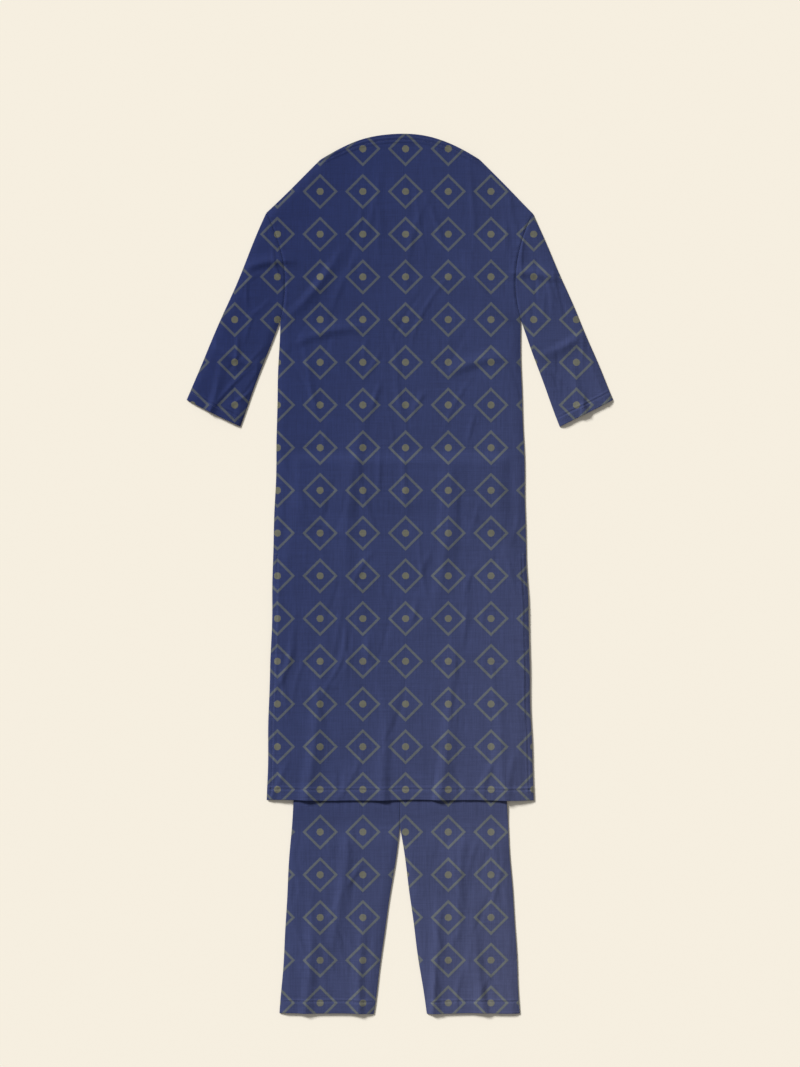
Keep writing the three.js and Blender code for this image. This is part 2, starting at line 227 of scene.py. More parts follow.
def flat_area(x, y):
    """Area in plan of a grid of points, from its cells' diagonals."""
    ax, ay = x[1:, 1:] - x[:-1, :-1], y[1:, 1:] - y[:-1, :-1]
    bx, by = x[1:, :-1] - x[:-1, 1:], y[1:, :-1] - y[:-1, 1:]
    return float(np.abs(ax * by - ay * bx).sum() / 2)


class Wire:
    """A socket of a material's nodes. Arithmetic on it adds Math nodes, and node() adds any
    other node, its settings first and then its inputs, and gives back a wire from an output."""

    def __init__(self, tree, socket=None):
        self.tree = tree
        self.socket = socket

    @staticmethod
    def find(sockets, place):
        """A socket by its number, or else by its identifier or its name."""
        if isinstance(place, int):
            return sockets[place]
        return next(s for s in sockets if place in (s.identifier, s.name))

    def node(self, kind, settings=None, inputs=None, output=0):
        node = self.tree.nodes.new(kind)
        for setting, value in (settings or {}).items():
            if setting == "stops":
                stops = node.color_ramp.elements
                while len(stops) < len(value):
                    stops.new(1.0)
                for stop, (place, colour) in zip(stops, value):
                    stop.position = place
                    stop.color = (*colour, 1)
            else:
                setattr(node, setting, value)
        for place, value in (inputs or {}).items():
            socket = self.find(node.inputs, place)
            if isinstance(value, Wire):
                self.tree.links.new(value.socket, socket)
            else:
                socket.default_value = value
        return Wire(self.tree, self.find(node.outputs, output)) if node.outputs else None

    def math(self, operation, *values):
        return self.node("ShaderNodeMath", {"operation": operation}, dict(enumerate(values)))

    def __add__(self, other):
        return self.math("ADD", self, other)

    def __sub__(self, other):
        return self.math("SUBTRACT", self, other)

    def __rsub__(self, other):
        return self.math("SUBTRACT", other, self)

    def __mul__(self, other):
        return self.math("MULTIPLY", self, other)

    def __truediv__(self, other):
        return self.math("DIVIDE", self, other)

    def __lt__(self, other):
        return self.math("LESS_THAN", self, other)

    def __abs__(self):
        return self.math("ABSOLUTE", self)

    __radd__ = __add__
    __rmul__ = __mul__


NAVY_AT_NECK = (18, 32, 82)
NAVY_AT_HEM = (76, 80, 110)
GOLD = (179, 173, 45)
PALE_GOLD = (174, 178, 80)
FADE_STOPS = 5
GOLD_IN_DOT = 0.22
GOLD_IN_LINE = (0.098, 0.183)
THREAD = 0.55 * mm
SLUB_FINE, SLUB_LONG, SLUB_SCALE = 18, 0.7, 28
MOTIF_THREAD = 0.9 * mm
MOTIF_PITCH = 80 * mm
MOTIF_START = (10 * mm, 795 * mm)
DIAMOND_REACH = 30 * mm
DIAMOND_LINE = 4.5 * mm
DOT_RADIUS = 6.7 * mm
MOTIF_RAGGED = 1.2 * mm
CRUMPLE_HEIGHT = 1.1 * mm
YARN_HEIGHT = 0.22 * mm
CLOTH_ROUGHNESS = 0.82
GOLD_GLOSS = 0.22
OUTFIT_HALF_WIDTH = 400 * mm
OUTFIT_HALF_LENGTH = 825 * mm


def linear(colour):
    """A colour of 0 to 255 on screen, as the light that it stands for, from 0 to 1."""
    share = np.array(colour) / 255
    return tuple(np.where(share > 0.04045, ((share + 0.055) / 1.055) ** 2.4, share / 12.92))


def woven_cloth(name):
    """Navy cloth that greys from the neck's right to the hem's left, in rows of diamonds with a
    dot in each, floated in gold thread. A plain weave and uneven yarns roughen the ground."""
    material = bpy.data.materials.new(name)
    material.use_nodes = True
    material.node_tree.nodes.clear()
    start = Wire(material.node_tree)
    place = start.node("ShaderNodeTexCoord", output="Object")
    x = start.node("ShaderNodeSeparateXYZ", inputs={0: place}, output="X")
    y = start.node("ShaderNodeSeparateXYZ", inputs={0: place}, output="Y")

    # the ground fades evenly along the diagonal of the whole outfit
    fade = (x / OUTFIT_HALF_WIDTH - y / OUTFIT_HALF_LENGTH) / 4 + 0.5
    navy = np.linspace(NAVY_AT_NECK, NAVY_AT_HEM, FADE_STOPS)
    stops = [(i / (FADE_STOPS - 1), linear(colour)) for i, colour in enumerate(navy)]
    ground = start.node("ShaderNodeValToRGB", {"stops": stops}, {0: fade})

    # slubs along both yarns, slow unevenness of the dye, and the crossings of a plain weave
    def uneven(across, along, scale, detail):
        """Noise from 0 to 1, finer by a factor across and along the cloth."""
        at = start.node(
            "ShaderNodeMapping", inputs={"Vector": place, "Scale": (across, along, 1)}
        )
        settings = {"Vector": at, "Scale": scale, "Detail": detail}
        return start.node("ShaderNodeTexNoise", inputs=settings)

    warp = uneven(SLUB_FINE, SLUB_LONG, SLUB_SCALE, 3.0)
    weft = uneven(SLUB_LONG, SLUB_FINE, SLUB_SCALE, 3.0)
    dye = uneven(1, 1, 9, 2.0)
    warp_wave = start.math("SINE", x * (2 * np.pi / THREAD))
    weft_wave = start.math("SINE", y * (2 * np.pi / THREAD))
    crossing = warp_wave * weft_wave
    tone = warp * 0.55 + weft * 0.45 + dye * 0.16 + crossing * 0.14 + 0.42

    # the motif is stepped thread by thread, as a loom makes it, and its edges are ragged
    def from_centre(value, centre):
        """Distance to the nearest motif's centre line, in whole threads."""
        threads = start.math("SNAP", value, MOTIF_THREAD)
        share = start.math("FRACT", (threads - centre) / MOTIF_PITCH + 100.5)
        return abs(share - 0.5) * MOTIF_PITCH

    across = from_centre(x, MOTIF_START[0])
    along = from_centre(y, MOTIF_START[1])
    ragged = (uneven(1, 1, 900, 0.0) - 0.5) * MOTIF_RAGGED
    line = abs(across + along - DIAMOND_REACH + ragged) < DIAMOND_LINE / np.sqrt(2)
    dot = (across * across + along * along) < DOT_RADIUS**2
    motif = line + dot
    float_wave = start.math("SINE", y * (2 * np.pi / MOTIF_THREAD))
    in_line = fade * (GOLD_IN_LINE[1] - GOLD_IN_LINE[0]) + GOLD_IN_LINE[0]
    gold = (line * in_line + dot * GOLD_IN_DOT) * (weft * 0.5 + float_wave * 0.12 + 0.75)
    floats = start.node(
        "ShaderNodeMix",
        {"data_type": "RGBA"},
        {"Factor": dot, "A_Color": (*linear(PALE_GOLD), 1), "B_Color": (*linear(GOLD), 1)},
        "Result_Color",
    )

    toned = start.node("ShaderNodeVectorMath", {"operation": "SCALE"}, {0: ground, "Scale": tone})
    colour = start.node(
        "ShaderNodeMix",
        {"data_type": "RGBA"},
        {"Factor": gold, "A_Color": toned, "B_Color": floats},
        "Result_Color",
    )

    # relief: soft crumple, then yarns and floats
    crumple = uneven(1.0, 0.55, 60, 3.0) + uneven(1.0, 0.8, 190, 2.0) * 0.25
    crumpled = start.node(
        "ShaderNodeBump", inputs={"Strength": 0.55, "Distance": CRUMPLE_HEIGHT, "Height": crumple}
    )
    yarns = warp * 0.6 + weft * 0.5 + crossing * 0.35 + motif * (float_wave * 0.3 + 0.8)
    bumped = start.node(
        "ShaderNodeBump",
        inputs={"Strength": 0.7, "Distance": YARN_HEIGHT, "Height": yarns, "Normal": crumpled},
    )
    surface = start.node(
        "ShaderNodeBsdfPrincipled",
        inputs={
            "Base Color": colour,
            "Roughness": CLOTH_ROUGHNESS - motif * GOLD_GLOSS,
            "Specular IOR Level": 0.22,
            "Sheen Weight": 0.06,
            "Sheen Roughness": 0.45,
            "Sheen Tint": (0.75, 0.8, 1.0, 1),
            "Normal": bumped,
        },
    )
    start.node("ShaderNodeOutputMaterial", inputs={"Surface": surface})
    return material


kurta_cloth = woven_cloth("kurta_cloth")

back_across, back_round_across = stations(2 * SHOULDER_TIP[0], (np.inf, BACK_SPACING))
back_up, back_round_up = stations(
    SHOULDER_TIP[1] - HEM_Y,
    (ARMPIT[1] - HEM_Y, BACK_SPACING_UP[0]),
    (np.inf, BACK_SPACING_UP[1]),
)
back_x, back_y = hand_laid(
    *body_plan(back_across / SHOULDER_TIP[0] - 1, (HEM_Y + back_up)[:, None], 0)
)
kurta_back = cloth(
    "back_panel", back_x, back_y, 0, np.outer(back_round_up, back_round_across), kurta_cloth
)
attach(kurta_back, "root")
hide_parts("kurta_back")
flat_area(back_x, back_y)


# Trouser backs
# The two back panels of straight legs. Inside the kurta they lie on its back, and below its
# hem they come down to the floor. The legs touch from the crotch to just below that hem.
LEG_LOW, LEG_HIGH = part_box("trouser_front_left")
LEG_HEM_Y = LEG_LOW[1]
WAIST_Y = LEG_HIGH[1]
LEG_OUTER = np.array([225, 200, 215, 170]) * mm
HIP_Y = -100 * mm
LEGS_PART_Y = HEM_Y - 50 * mm
LEG_INNER_AT_HEM = 50 * mm
LEG_WIDTH = LEG_OUTER[0] - LEG_INNER_AT_HEM
LEG_BACK_SPACING = 12 * mm
RAMP_SPACING = 3 * mm
HIDDEN_SPACING = 15 * mm
RAMP_START_Y = HEM_Y - 7.5 * mm
RAMP_END_Y = RAMP_START_Y - 36 * mm

trouser_cloth = woven_cloth("trouser_cloth")


def outseam(y):
    """Distance of the outseam from the centre line, which LEG_OUTER gives at four heights:
    straight from its hem to the kurta's, and then smooth steps to the hip and the waist."""
    hem, kurta_hem, hip, waist = LEG_OUTER
    shown = mix(hem, kurta_hem, (y - LEG_HEM_Y) / (HEM_Y - LEG_HEM_Y))
    to_hip = mix(kurta_hem, hip, smooth(y, HEM_Y, HIP_Y))
    to_waist = mix(hip, waist, smooth(y, HIP_Y, WAIST_Y))
    return np.where(y < HEM_Y, shown, np.where(y < HIP_Y, to_hip, to_waist))


def inseam(y):
    """Half a gap from the centre line, and below where the legs part a straight line away."""
    apart = np.clip((LEGS_PART_Y - y) / (LEGS_PART_Y - LEG_HEM_Y), 0, 1)
    return mix(GAP / 2, LEG_INNER_AT_HEM, apart)


def on_kurta_back(y):
    """One layer up where the legs lie on the kurta's back, and 0 on the floor."""
    return LAYER * smooth(y, RAMP_END_Y, RAMP_START_Y)


def leg_plan(side, across, up):
    """Plan of a leg panel: across goes from 0 at the inseam to LEG_WIDTH at the outseam."""
    y = LEG_HEM_Y + up[:, None]
    return side * mix(inseam(y), outseam(y), across / LEG_WIDTH), y + 0 * across


for name, side in (("left", 1), ("right", -1)):
    across, round_across = stations(LEG_WIDTH, (np.inf, LEG_BACK_SPACING))
    up, round_up = stations(
        WAIST_Y - LEG_HEM_Y,
        (RAMP_END_Y - LEG_HEM_Y, LEG_BACK_SPACING),
        (RAMP_START_Y - LEG_HEM_Y, RAMP_SPACING),
        (np.inf, HIDDEN_SPACING),
    )
    x, y = hand_laid(*leg_plan(side, across, up))
    leg_back = cloth(
        f"leg_back_{name}", x, y, on_kurta_back(y), np.outer(round_up, round_across), trouser_cloth
    )
    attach(leg_back, "root")
    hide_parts(f"trouser_back_{name}")
    flat_area(x, y)


# Trouser fronts
# The front panels lie on the backs and close over them at outseam and inseam. Below the
# kurta they are lofted by the air between, with a few soft folds and a turned, sewn hem.
LOFT = 1.5 * mm
LOFT_EASE = 48 * mm
SWELL = 0.8 * mm
EDGE_RADIUS = (LAYER + WALL) / 2
ROLL_WIDTH = 15 * mm
TROUSER_HEM_DEPTH = 26 * mm
TURNED_STEP = 1.0 * mm
STITCH_INSET = 3.5 * mm
GROOVE_DEPTH = 0.9 * mm
GROOVE_WIDTH = 1.9 * mm
PUCKER_LENGTH = 9.5 * mm
PUCKER_HEIGHT = 0.4 * mm
PUCKER_REACH = 7 * mm
FOLD_SKEW = 0.35
EDGE_SPACING = 1.6 * mm
LEG_SPACING = (3.2 * mm, 3.4 * mm)

Fold = namedtuple("Fold", "x0 y0 x1 y1 bow breadth height open")
# each row in millimetres, as the names above; open folds are highest at their start
TROUSER_FOLDS = [
    Fold(66, -825, 74, -560, 6, 40, 3.6, True),
    Fold(152, -825, 134, -600, -7, 44, 3.8, True),
    Fold(118, -462, 106, -690, 8, 44, 3.2, False),
    Fold(-84, -825, -66, -620, -6, 39, 3.8, True),
    Fold(-170, -825, -164, -540, 8, 45, 3.6, True),
    Fold(-96, -462, -124, -720, -9, 45, 3.4, False),
]


def fold_height(folds, x, y):
    """Height of ridges over their bowed lines: half (1 - across^2)^2 and half a crisper
    (1 - across)^2, times a half wave along each, or a quarter wave for an open one. The crest
    is pushed out towards the bow, so that one flank is steeper."""
    height = np.zeros(np.broadcast(x, y).shape)
    for fold in folds:
        dx, dy = (fold.x1 - fold.x0) * mm, (fold.y1 - fold.y0) * mm
        px, py = x - fold.x0 * mm, y - fold.y0 * mm
        length = np.hypot(dx, dy)
        along = np.clip((px * dx + py * dy) / length**2, 0, 1)
        bowed = fold.bow * mm * 4 * along * (1 - along)
        across = ((px * dy - py * dx) / length - bowed) / (fold.breadth * mm / 2)
        taper = np.cos(along * np.pi / 2) if fold.open else np.sin(along * np.pi)
        across = np.clip(across, -1, 1)
        across = np.abs(across + FOLD_SKEW * np.sign(fold.bow) * (1 - across**2))
        height += fold.height * mm * taper * ((1 - across**2) ** 2 + (1 - across) ** 2) / 2
    return height


def small_creases(seed, count, low, high, lean, lengths, breadths, heights):
    """Creases strewn over a rectangle, each leaning from the vertical by up to lean radians,
    with its length, breadth and height drawn evenly from a range. One in three is a trough."""
    rng = np.random.default_rng(seed)
    creases = []
    for _ in range(count):
        x, y = rng.uniform(low, high)
        angle = lean[0] + rng.uniform(-1, 1) * lean[1]
        length = rng.uniform(*lengths)
        height = rng.uniform(*heights) * (-0.6 if rng.random() < 0.33 else 1)
        dx, dy = length / 2 * np.sin(angle), length / 2 * np.cos(angle)
        bow = rng.uniform(-0.09, 0.09) * length
        creases.append(
            Fold(x - dx, y - dy, x + dx, y + dy, bow, rng.uniform(*breadths), height, False)
        )
    return creases


def swell(x, y):
    """Slow unevenness from 0 to about 1: three crossed waves of 100 to 200 mm."""
    waves = np.sin(x / 0.023 + y / 0.041 + 1.1) + np.sin(y / 0.034 - x / 0.05 + 0.3)
    return 0.5 + (waves + np.sin(x / 0.031 - y / 0.019 + 2.0)) / 6


def roll(distance):
    """Rises from 0 at a closed edge to 1 at ROLL_WIDTH inside it, as t (2 - t)."""
    t = np.clip((distance - EDGE_RADIUS) / ROLL_WIDTH, 0, 1)
    return t * (2 - t)


def turned_edge(distance, depth, along):
    """Relief of an edge that is turned in by depth and stitched: a low step where the turned
    cloth ends, a groove under the stitches, and puckers that die away from them."""
    step = TURNED_STEP * (1 - smooth(distance, depth - 1 * mm, depth + 2 * mm))
    off_stitches = np.abs(distance - depth + STITCH_INSET)
    groove = GROOVE_DEPTH * np.exp(-((off_stitches / GROOVE_WIDTH) ** 2))
    wander = 2.2 * np.sin(along / (11 * mm)) + 1.4 * np.sin(along / (4.3 * mm) + 1)
    pucker = np.sin(2 * np.pi * along / PUCKER_LENGTH + wander)
    return step - groove + PUCKER_HEIGHT * pucker * np.exp(-off_stitches / PUCKER_REACH)


leg_creases = TROUSER_FOLDS + [
    crease
    for seed, corner in ((11, 60), (12, -200))
    for crease in small_creases(
        seed, 26, (corner, -810), (corner + 140, -480), (0, 0.6), (50, 150), (11, 23), (0.7, 2.1)
    )
]


def leg_front(x, y):
    """Underside of the trouser fronts: a layer above the backs, lofted where they show."""
    inner, outer = np.abs(x) - inseam(y), outseam(y) - np.abs(x)
    shown = 1 - smooth(y, RAMP_END_Y - LOFT_EASE, RAMP_END_Y)
    relief = LOFT + SWELL * swell(x, y) + fold_height(leg_creases, x, y)
    relief += turned_edge(y - LEG_HEM_Y, TROUSER_HEM_DEPTH, x)
    return LAYER + on_kurta_back(y) + shown * roll(np.minimum(inner, outer)) * relief


STITCH_LENGTH = 2.7 * mm
STITCH_PITCH = 3.3 * mm
THREAD_RADIUS = 0.24 * mm
THREAD_RISE = 0.34 * mm
THREAD_SINK = 0.14 * mm
THREAD_COLOUR = (70, 78, 112)


def polyester_thread():
    """Sewing thread a little lighter than the cloth, with a faint twist and a low gloss."""
    material = bpy.data.materials.new("thread")
    material.use_nodes = True
    material.node_tree.nodes.clear()
    start = Wire(material.node_tree)
    place = start.node("ShaderNodeTexCoord", output="Object")
    fibre = start.node("ShaderNodeTexNoise", inputs={"Vector": place, "Scale": 1500})
    colour = start.node(
        "ShaderNodeVectorMath",
        {"operation": "SCALE"},
        {0: linear(THREAD_COLOUR), "Scale": fibre * 0.6 + 0.7},
    )
    bump = start.node(
        "ShaderNodeBump", inputs={"Strength": 0.5, "Distance": 0.1 * mm, "Height": fibre}
    )
    surface = start.node(
        "ShaderNodeBsdfPrincipled",
        inputs={"Base Color": colour, "Roughness": 0.5, "Normal": bump},
    )
    start.node("ShaderNodeOutputMaterial", inputs={"Surface": surface})
    return material


thread = polyester_thread()


def sewn(name, paths, underside):
    """Stitches along paths over the cloth, one closed mesh. Each rises out of the cloth and back
    in along half a sine wave, and its six-sided section narrows at both ends."""
    rise = np.linspace(0, 1, 5)
    radius = THREAD_RADIUS * np.array([0.2, 0.85, 1, 0.85, 0.2])
    around = np.arange(6) * np.pi / 3
    centres = []
    for path_x, path_y in paths:
        length = np.concatenate([[0], np.cumsum(np.hypot(np.diff(path_x), np.diff(path_y)))])
        starts = np.arange(0, length[-1] - STITCH_LENGTH, STITCH_PITCH)
        at = starts[:, None] + rise * STITCH_LENGTH
        centres.append(np.stack([np.interp(at, length, path_x), np.interp(at, length, path_y)], -1))
    plan = np.concatenate(centres)
    top = underside(plan[..., 0], plan[..., 1]) + WALL
    height = top + THREAD_RISE * np.sin(np.pi * rise) - THREAD_SINK
    x, y = hand_laid(plan[..., 0], plan[..., 1])
    ahead = np.stack([x[:, -1] - x[:, 0], y[:, -1] - y[:, 0]], -1)
    ahead /= np.linalg.norm(ahead, axis=-1, keepdims=True)
    aside = (radius[:, None] * np.cos(around))[None]
    points = np.stack(
        [
            x[..., None] - ahead[:, 1, None, None] * aside,
            y[..., None] + ahead[:, 0, None, None] * aside,
            height[..., None] + (radius[:, None] * np.sin(around))[None],
        ],
        -1,
    )
    index = np.arange(len(rise) * len(around)).reshape(len(rise), len(around))
    tube = quads(np.concatenate([index, index[:, :1]], 1))
    caps = np.array([index[i][list(c)] for i, c in ((0, (3, 2, 1, 0)), (0, (5, 4, 3, 0)),
                                                    (-1, (0, 1, 2, 3)), (-1, (0, 3, 4, 5)))])
    one = np.concatenate([tube, caps])
    offsets = np.arange(len(points)) * index.size
    faces = (offsets[:, None, None] + one[None]).reshape(-1, 4)
    return add_piece(name, points.reshape(-1, 3), faces, thread)


for name, side in (("left", 1), ("right", -1)):
    across, round_across = stations(LEG_WIDTH, (np.inf, LEG_SPACING[0]))
    up, round_up = stations(
        WAIST_Y - LEG_HEM_Y,
        (TROUSER_HEM_DEPTH + 4 * mm, EDGE_SPACING),
        (HEM_Y - LEG_HEM_Y, LEG_SPACING[1]),
        (np.inf, HIDDEN_SPACING),
    )
    plan_x, plan_y = leg_plan(side, across, up)
    x, y = hand_laid(plan_x, plan_y)
    underside = leg_front(plan_x, plan_y)
    leg = cloth(
        f"leg_front_{name}", x, y, underside, np.outer(round_up, round_across), trouser_cloth
    )
    hem_y = np.full(50, LEG_HEM_Y + TROUSER_HEM_DEPTH - STITCH_INSET)
    hem_x = side * np.linspace(inseam(hem_y[0]) + 2 * mm, outseam(hem_y[0]) - 2 * mm, 50)
    hem = sewn(f"leg_hem_stitches_{name}", [(hem_x, hem_y)], leg_front)
    for piece in (leg, hem):
        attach(piece, "root")
    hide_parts(f"trouser_front_{name}")
    flat_area(x, y)


# Waistband
# A ring of cloth sewn round elastic at the top of the trousers. It lies pressed flat inside
# the kurta, where nothing shows it, so it is plain but for its gathers.
BAND_LOW, BAND_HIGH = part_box("waistband")
BAND_WALL = 1.8 * mm
BAND_LANES = 160
BAND_SPACING = 5 * mm
GATHER_LENGTH = 11 * mm
GATHER_HEIGHT = 0.12 * mm


def flat_tube(name, plan, top, bottom, fold_radius, wall, lanes, up, round_up, material):
    """A tube of cloth pressed flat. Its middle surface goes over the top layer, round a half
    circle at one fold, back along the bottom layer and round the other fold. The wall's two
    faces stand half a wall off it, times the roundness, so that they meet at the open ends.
    plan(w, up) gives x and y for w from 0 at one fold to 1 at the other."""
    turn = np.linspace(0, np.pi, 7)[1:-1]
    flat, bent = np.ones(len(lanes)), np.ones(len(turn))
    angle = [flat * np.pi / 2, np.pi / 2 - turn, -flat * np.pi / 2, -np.pi / 2 - turn]
    outward, upward = np.cos(np.concatenate(angle)), np.sin(np.concatenate(angle))
    share = np.concatenate([lanes, bent, lanes[::-1], 0 * bent])
    on_fold = np.concatenate([0 * flat, bent, 0 * flat, bent]) > 0
    (ax, ay), (bx, by) = (plan(np.array([[w]]), up[:, None]) for w in (0.0, 1.0))
    width = np.hypot(bx - ax, by - ay)
    inset = (fold_radius + wall / 2) / width
    faces_of_wall = []
    for side, rows in ((1, slice(None)), (-1, slice(-2, 0, -1))):
        half = side * wall / 2 * round_up[rows, None]
        reach = outward * (fold_radius + half) / width[rows]
        x, y = plan(inset[rows] + (1 - 2 * inset[rows]) * share + reach, up[rows, None])
        layer = np.where(upward > 0, top(x, y), bottom)
        fold = bottom + fold_radius * (1 + upward)
        z = np.where(on_fold, fold, layer) + upward * half
        faces_of_wall.append(np.stack([*hand_laid(x, y), z], -1))
    points = np.concatenate(faces_of_wall)
    index = np.arange(points.shape[0] * points.shape[1]).reshape(points.shape[:2])
    index = np.concatenate([index, index[:1]])
    index = np.concatenate([index, index[:, :1]], 1)
    return add_piece(name, points.reshape(-1, 3), quads(index), material)


def band_plan(w, up):
    """The band is as wide as the waist, one gap above the leg panels."""
    return (2 * w - 1) * BAND_HIGH[0] + 0 * up, BAND_LOW[1] + up + 0 * w


def band_top(x, y):
    """Middle of the upper layer, in low gathers that fade at both folds."""
    fade = smooth(BAND_HIGH[0] - np.abs(x), 3 * mm, 20 * mm)
    gathers = np.sin(2 * np.pi * x / GATHER_LENGTH + 1.3 * np.sin(x / (17 * mm)))
    return BAND_HIGH[2] - BAND_WALL / 2 - GATHER_HEIGHT * fade * (1 - gathers)


band_up, band_round = stations(BAND_HIGH[1] - BAND_LOW[1], (np.inf, BAND_SPACING))
band_bottom = BAND_LOW[2] + BAND_WALL / 2
band_radius = (BAND_HIGH[2] - BAND_LOW[2] - BAND_WALL) / 2
waistband = flat_tube(
    "waistband_ring", band_plan, band_top, band_bottom, band_radius, BAND_WALL,
    np.linspace(0, 1, BAND_LANES), band_up, band_round, trouser_cloth,
)
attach(waistband, "root")
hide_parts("waistband")


# Kurta front
# The front panel is closed to the back at shoulders and sides, open at the neck, the hem and
# the side slits. Air lofts it, the trousers inside lift it, and a few folds run over it.
NECK_DIP = 6 * mm
NECK_DEPTH = 10 * mm
HEM_DEPTH = 24 * mm
SLIT_DEPTH = 12 * mm
CUFF_DEPTH = 20 * mm
SLIT_TOP_Y = HEM_Y + 460 * mm
SLIT_EASE = 90 * mm
SLIT_LIFT = 0.4
STEP_RAMP = 26 * mm
SPARE = 0.9 * mm
PRESSED_HEIGHT = 0.5 * mm
PRESSED_INSET = 4 * mm
PRESSED_WIDTH = 6 * mm
VALLEY_DEPTH = 0.9 * mm
VALLEY_WIDTH = 2.4 * mm
SEAM_PUCKER_LENGTH = 13 * mm
SEAM_PUCKER_HEIGHT = 0.25 * mm
SIDE_SPACING = 1.7 * mm
FRONT_SPACING = (3.9 * mm, 4.2 * mm, 2.9 * mm)
NECK_SPACING = 1.3 * mm
CUFF_TOP = (SLEEVE_HIGH[0], NECK_POINT[1] - 450 * mm)
CUFF_UNDER = (300 * mm, SLEEVE_LOW[1])
CLOSED_EDGES = (
    (NECK_POINT, SHOULDER_TIP),
    (SHOULDER_TIP, CUFF_TOP),
    (CUFF_UNDER, ARMPIT),
    (ARMPIT, HEM_CORNER),
)
SLEEVE_LEAN = np.arctan2(CUFF_TOP[0] - SHOULDER_TIP[0], CUFF_TOP[1] - SHOULDER_TIP[1]) - np.pi
KURTA_FOLDS = [
    Fold(-214, 470, -100, 612, 10, 39, 3.6, False),
    Fold(214, 462, 112, 590, -12, 36, 3.8, False),
    Fold(-212, 430, -50, 462, -14, 42, 3.2, False),
    Fold(214, 410, 72, 372, 12, 45, 3.1, False),
    Fold(-66, 330, -108, -40, 18, 63, 3.2, False),
    Fold(104, 260, 62, -120, -16, 66, 3.1, False),
    Fold(-222, 140, -96, 60, 8, 40, 2.7, False),
    Fold(226, 52, 118, 132, 7, 39, 2.5, False),
    Fold(-168, -425, -142, -120, 8, 52, 4.3, True),
    Fold(-38, -425, -20, -230, -6, 46, 3.6, True),
    Fold(82, -425, 104, -90, 9, 54, 4.3, True),
    Fold(192, -425, 182, -250, -5, 40, 3.2, True),
    Fold(196, 566, 318, 548, -8, 34, 3.6, False),
    Fold(262, 400, 352, 452, 7, 38, 3.4, False),
    Fold(345, 300, 318, 400, -5, 33, 3.4, True),
    Fold(-188, 590, -306, 570, 9, 36, 3.8, False),
    Fold(-270, 384, -360, 430, -7, 34, 3.4, False),
    Fold(-352, 301, -330, 412, 6, 34, 3.6, True),
]
kurta_creases = (
    KURTA_FOLDS
    + small_creases(
        21, 100, (-235, -410), (235, 720), (0, 0.55), (60, 210), (11, 27), (0.7, 2.0)
    )
    + small_creases(
        22, 30, (240, 290), (395, 650), (SLEEVE_LEAN, 0.6), (45, 130), (11, 21), (0.7, 1.9)
    )
    + small_creases(
        23, 30, (-395, 290), (-240, 650), (-SLEEVE_LEAN, 0.6), (45, 130), (11, 21), (0.7, 1.9)
    )
)


def distance_to_line(x, y, a, b):
    """Distance in plan from points to the straight line between two others."""
    dx, dy = b[0] - a[0], b[1] - a[1]
    along = np.clip(((x - a[0]) * dx + (y - a[1]) * dy) / (dx * dx + dy * dy), 0, 1)
    return np.hypot(x - a[0] - along * dx, y - a[1] - along * dy)


def bulk_below(x, y):
    """What the trousers inside add: two layers as far out as the outseams and as high up as
    the waistband, which adds its thicker walls, and a little spare for troughs."""
    out = outseam(y) + ROLL_WIDTH
    beside = 1 - smooth(np.abs(x), out, out + STEP_RAMP)
    top = BAND_HIGH[1] + ROLL_WIDTH
    above = 1 - smooth(y, top, top + STEP_RAMP)
    on_band = above * smooth(y, WAIST_Y - ROLL_WIDTH - STEP_RAMP, WAIST_Y - ROLL_WIDTH)
    lift = 2 * LAYER - LOFT + SPARE
    return beside * (above * lift + on_band * 2 * (BAND_WALL - WALL))


def edges_sewn(x, y):
    """Relief along the neck, hem, slits and cuffs, each faded out where it doesn't run, and
    along the armhole a valley at the seam, beside the allowance that is pressed to the body."""
    out = np.abs(x)
    inside = body_half_width(y) - out
    on_body = smooth(inside, -1 * mm, 0)
    hem = turned_edge(y - HEM_Y, HEM_DEPTH, x)
    slit = turned_edge(inside, SLIT_DEPTH, y) * (1 - smooth(y, SLIT_TOP_Y, SLIT_TOP_Y + 6 * mm))
    slit *= smooth(y - HEM_Y, 6 * mm, 20 * mm)
    neck = turned_edge(top_edge(x, NECK_DIP) - y, NECK_DEPTH, x)
    neck *= 1 - smooth(out, NECK_POINT[0] - 12 * mm, NECK_POINT[0] + 4 * mm)
    cuff = turned_edge(distance_to_line(out, y, CUFF_UNDER, CUFF_TOP), CUFF_DEPTH, x + y)
    cuff *= smooth(out, ARMPIT[0] + 20 * mm, ARMPIT[0] + 50 * mm)
    at_armhole = smooth(y, ARMPIT[1] + 4 * mm, ARMPIT[1] + 30 * mm)
    at_armhole *= 1 - smooth(y, SHOULDER_TIP[1] - 30 * mm, SHOULDER_TIP[1])
    pucker = np.sin(2 * np.pi * y / SEAM_PUCKER_LENGTH + 1.7 * np.sin(y / (15 * mm)))
    seam = PRESSED_HEIGHT * on_body + SEAM_PUCKER_HEIGHT * pucker
    seam *= np.exp(-np.abs(inside - PRESSED_INSET) / PRESSED_WIDTH)
    seam -= VALLEY_DEPTH * np.exp(-((inside / VALLEY_WIDTH) ** 2))
    return hem * on_body + slit * on_body + neck + cuff + seam * at_armhole


def upper_layer(x, y):
    """Underside of the kurta's upper layer, the same over the body and both sleeves."""
    distance = np.min([distance_to_line(np.abs(x), y, a, b) for a, b in CLOSED_EDGES], 0)
    loose = 1 - smooth(y, SLIT_TOP_Y - SLIT_EASE, SLIT_TOP_Y)
    lift = np.maximum(roll(distance), SLIT_LIFT * loose)
    relief = LOFT + bulk_below(x, y) + SWELL * swell(x, y) + fold_height(kurta_creases, x, y)
    return LAYER + lift * relief + edges_sewn(x, y) * smooth(distance, 0, 5 * mm)


